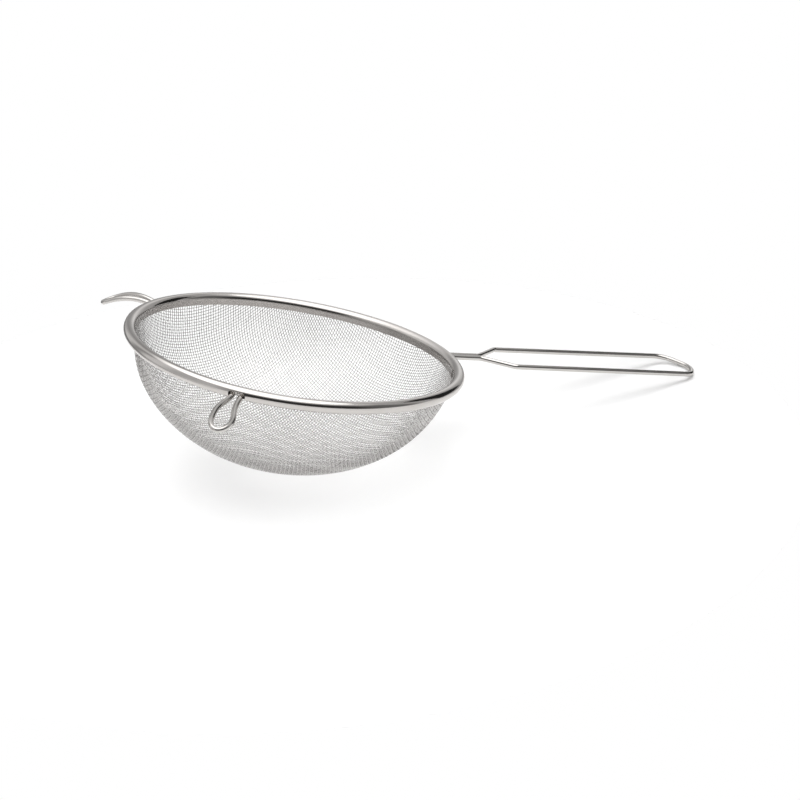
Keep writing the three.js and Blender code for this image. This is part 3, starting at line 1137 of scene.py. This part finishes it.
@dataclass
class Studio:
    """Plain white table and soft light, with grey walls that only the polished steel mirrors.

    Stops are pairs of a position and a grey, and in upper_gain of a position and a factor. On the
    walls the position is a share of the way round, from the side opposite the handle, and in
    upper_stops of the height. On the table it is a share of painted_shade_reach from painted_shade_centre.
    """

    table_radius: float = 0.3
    table_centre: Pair = (-0.085, 0.0)
    table_sides: int = 96
    table_grey: float = 0.92
    # Painted shade and light on the table: its glow is least near this point by the bowl's foot,
    # more in a ring round it that whitens the wider shadow, and low again further out where the
    # handle's shadow lies.
    painted_shade_centre: Pair = (-0.1025, -0.009)
    painted_shade_reach: float = 0.4
    painted_shade_glow: Stops = (
        (0.07, 0.02), (0.13, 0.08), (0.18, 0.16), (0.22, 0.19),
        (0.38, 0.17), (0.60, 0.05), (1.0, 0.05),
    )
    ground_radius: float = 6.0
    ground_drop: float = 0.0005
    sky: float = 0.6
    wall_radius: float = 2.0
    wall_height: float = 2.6
    wall_foot: float = -0.8
    wall_sides: int = 128
    wall_stops: Stops = (
        (0.0, 0.58), (0.05, 0.70), (0.085, 0.45), (0.105, 0.04), (0.335, 0.04), (0.37, 0.18),
        (0.43, 0.18), (0.46, 0.50), (0.60, 0.50), (0.635, 0.80), (0.66, 0.97), (0.685, 0.60),
        (0.70, 0.45), (0.74, 0.36), (0.77, 0.55), (0.795, 0.78), (0.82, 0.72), (0.845, 0.38),
        (0.86, 0.40), (0.885, 0.85), (0.93, 0.85), (0.965, 0.60), (1.0, 0.58),
    )
    upper_stops: Stops = ((0.0, 0.0), (0.51, 0.0), (0.77, 0.55), (1.0, 0.85))
    upper_gain: Stops = (
        (0.0, 1.0), (0.70, 1.0), (0.74, 2.2), (0.88, 2.2), (0.93, 1.0), (1.0, 1.0),
    )
    lower_stops: Stops = (
        (0.0, 0.75), (0.06, 1.15), (0.12, 1.05), (0.45, 1.05), (0.55, 0.50), (0.70, 0.25),
        (0.80, 0.25), (0.86, 0.35), (0.90, 0.65), (0.94, 0.60), (1.0, 0.75),
    )
    lower_blend: float = 0.1
    card_angle: float = 7.4
    card_distance: float = 0.6
    card_width: float = 0.32
    card_height: float = 0.45
    card_grey: float = 0.02
    ceiling_radius: float = 1.95
    ceiling_radiance: float = 1.5
    ceiling_shift: Pair = (-0.1, 0.04)
    top_lamp: Lamp = Lamp("top_lamp", angle=20.0, height=80.0, softness=50.0, strength=0.25)
    back_lamp: Lamp = Lamp("back_lamp", angle=20.0, height=58.0, softness=42.0, strength=1.0)
    front_lamp: Lamp = Lamp("front_lamp", angle=247.4, height=34.0, softness=38.0, strength=1.0)
    frame_shadow: bpy.types.Collection = field(
        default_factory=lambda: bpy.data.collections.new("frame_shadow"),
    )
    bowl_shadow: bpy.types.Collection = field(
        default_factory=lambda: bpy.data.collections.new("bowl_shadow"),
    )

    @staticmethod
    def put_up(thing: Piece, finish: Finish, *hidden_from: Ray) -> None:
        """Finish a thing of the studio.

        Args:
            thing: The mesh object.
            finish: Its material.
            hidden_from: Kinds of ray that pass through it.
        """
        thing.data.materials.append(finish)
        for ray in hidden_from:
            setattr(thing, ray.value, False)

    def add_disc(self, name: str, radius: float, place: tuple[float, ...]) -> Piece:
        """A flat disc of the studio.

        Args:
            name: Its name.
            radius: Its radius.
            place: Where its middle is.

        Returns:
            The mesh object.
        """
        deselect_all()
        bpy.ops.mesh.primitive_circle_add(
            vertices=self.table_sides, radius=radius, fill_type="NGON",
        )
        disc = just_added(name)
        disc.data.transform(Matrix.Translation(place))
        return disc

    def add_world(self) -> None:
        """White surroundings for the camera and grey ones for the steel, which light nothing."""
        world = bpy.data.worlds.new("white_surroundings")
        world.use_nodes = True
        bpy.context.scene.world = world
        nodes = Wiring(world.node_tree)
        mirrored = nodes.math("MULTIPLY", nodes.looked_at(), self.sky)
        camera_ray = nodes.add("LightPath", {}).outputs["Is Camera Ray"]
        strength = nodes.math("MAXIMUM", camera_ray, mirrored)
        nodes.feed(nodes.tree.nodes["Background"], {"Color": WHITE, "Strength": strength})

    def add_ground(self) -> None:
        """White ground that only the camera sees, on past the table's edge."""
        ground = self.add_disc("white_ground", self.ground_radius, (0.0, 0.0, -self.ground_drop))
        finish, nodes = new_finish("white_ground")
        nodes.shine(WHITE)
        self.put_up(ground, finish, Ray.GLOSSY, Ray.DIFFUSE, Ray.TRANSMISSION, Ray.SHADOW)

    def add_table(self) -> None:
        """White table top that keeps the sieve's shadow, with a glow that brings no light: low by
        the bowl's foot as painted shade, higher round it as painted light.
        """
        table = self.add_disc("table_top", self.table_radius, (*self.table_centre, 0.0))
        finish, nodes = new_finish("white_table")
        ends = {0: nodes.place(), 1: (*self.painted_shade_centre, 0.0)}
        away = nodes.add("VectorMath", ends, operation="DISTANCE").outputs["Value"]
        glow = nodes.greys(nodes.share(away, 0.0, self.painted_shade_reach), self.painted_shade_glow)
        nodes.feed(nodes.tree.nodes["Principled BSDF"], {
            "Base Color": (self.table_grey,) * 3 + (1.0,),
            "Roughness": 1.0,
            "Specular IOR Level": 0.0,
            "Emission Color": WHITE,
            "Emission Strength": nodes.math("MULTIPLY", nodes.looked_at(), glow),
        })
        self.put_up(table, finish)

    def wall_finish(self) -> Finish:
        """The walls' glow: lighter and darker parts round the room, and others above and below.

        Returns:
            The material.
        """
        finish, nodes = new_finish("studio_wall")
        place = nodes.add("SeparateXYZ", {"Vector": nodes.place()}).outputs
        around = nodes.share(nodes.math("ARCTAN2", place["Y"], place["X"]), -math.pi, math.pi)
        rise = nodes.greys(nodes.share(place["Z"], 0.0, self.wall_height), self.upper_stops)
        upper = nodes.math("MULTIPLY", rise, nodes.greys(around, self.upper_gain))
        whole = nodes.add("Mix", {}, data_type="FLOAT")
        nodes.feed(whole, {
            "Factor": nodes.share(place["Z"], -self.lower_blend, self.lower_blend),
            "A": nodes.greys(around, self.lower_stops),
            "B": nodes.math("MAXIMUM", nodes.greys(around, self.wall_stops), upper),
        })
        nodes.shine(whole.outputs["Result"])
        return finish

    def add_wall(self) -> None:
        """Ring of studio wall round the table, which only the steel sees."""
        deselect_all()
        bpy.ops.mesh.primitive_cylinder_add(
            vertices=self.wall_sides, radius=self.wall_radius,
            depth=self.wall_height - self.wall_foot, end_fill_type="NOTHING",
        )
        wall = just_added("studio_wall")
        middle = (self.wall_height + self.wall_foot) / 2
        wall.data.transform(Matrix.Translation((0.0, 0.0, middle)))
        self.put_up(wall, self.wall_finish(), Ray.CAMERA, Ray.DIFFUSE, Ray.SHADOW)

    def add_card(self) -> None:
        """Black card past the handle's end, which only the steel sees."""
        deselect_all()
        bpy.ops.mesh.primitive_plane_add(size=1.0)
        card = just_added("black_card")
        for move in (
            Matrix.Diagonal((self.card_height, self.card_width, 1.0, 1.0)),
            Matrix.Rotation(math.pi / 2, 4, "Y"),
            Matrix.Translation((self.card_distance, 0.0, self.card_height / 2)),
            Matrix.Rotation(math.radians(self.card_angle), 4, "Z"),
            Matrix.Translation((*self.table_centre, 0.0)),
        ):
            card.data.transform(move)
        finish, nodes = new_finish("black_card")
        nodes.shine((self.card_grey,) * 3 + (1.0,))
        self.put_up(card, finish, Ray.CAMERA, Ray.DIFFUSE, Ray.SHADOW)

    def add_lamps(self) -> None:
        """Soft ceiling light that the steel mirrors, and the three lamps that light the table."""
        area = math.pi * self.ceiling_radius ** 2
        light = bpy.data.lights.new("ceiling_light", "AREA")
        light.shape = "DISK"
        light.size = 2 * self.ceiling_radius
        light.energy = self.ceiling_radiance * math.pi * area
        ceiling = bpy.data.objects.new("ceiling_light", light)
        ceiling.location = (*self.ceiling_shift, self.wall_height)
        ceiling.visible_camera = False
        bpy.context.scene.collection.objects.link(ceiling)
        self.top_lamp.build(self.bowl_shadow)
        self.back_lamp.build(self.frame_shadow)
        self.front_lamp.build(self.frame_shadow)

    def build(self) -> None:
        """Set up the world, ground, table, walls, card and lamps."""
        self.add_world()
        self.add_ground()
        self.add_table()
        self.add_wall()
        self.add_card()
        self.add_lamps()
        bpy.context.scene.view_settings.view_transform = "Standard"


def lay_down(piece: Piece, drawn: OutOfRound, rest: TableRest) -> None:
    """Bend a piece with the rim, put it where it lies, and report it.

    Args:
        piece: A mesh object in the rim's own frame.
        drawn: How the rim is out of round.
        rest: How the sieve lies on the table.
    """
    drawn.draw(piece)
    rest.set_down(piece)
    LOG.info("%s: %d faces", piece.name, len(piece.data.polygons))


def main() -> None:
    """Set up the camera and studio, then build the sieve's pieces in order and dress them."""
    logging.basicConfig(level=logging.INFO, format="%(name)s: %(message)s")
    rest = TableRest()
    drawn = OutOfRound()
    PhotoCamera().build(rest)
    studio = Studio()
    studio.build()
    rim = RimStrip()
    rim_finish = ROLLED_STRIP.material()
    band_shade_finish = BAND_PAINTED_SHADE_STEEL.material()
    wire_finish = DRAWN_WIRE.material()
    cloth_finish = CLOTH_WIRE_STEEL.material()
    for piece in rim.build():
        dress(piece, rim_finish)
        rim.shade_band(piece, band_shade_finish)
        rim.dull_joint(piece)
        lay_down(piece, drawn, rest)
        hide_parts("rim_strip")
    for piece in FrameWire(rim=rim).build():
        lay_down(piece, drawn, rest)
        dress(piece, wire_finish)
        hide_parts("frame_wire")
        studio.frame_shadow.objects.link(piece)
    cloth = WireCloth()
    for (family, band), piece in cloth.build().items():
        lay_down(piece, drawn, rest)
        dress(piece, cloth_finish)
        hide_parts(*cloth.cad_nodes(family, band))
        studio.bowl_shadow.objects.link(piece)


if __name__ == "__main__":
    main()
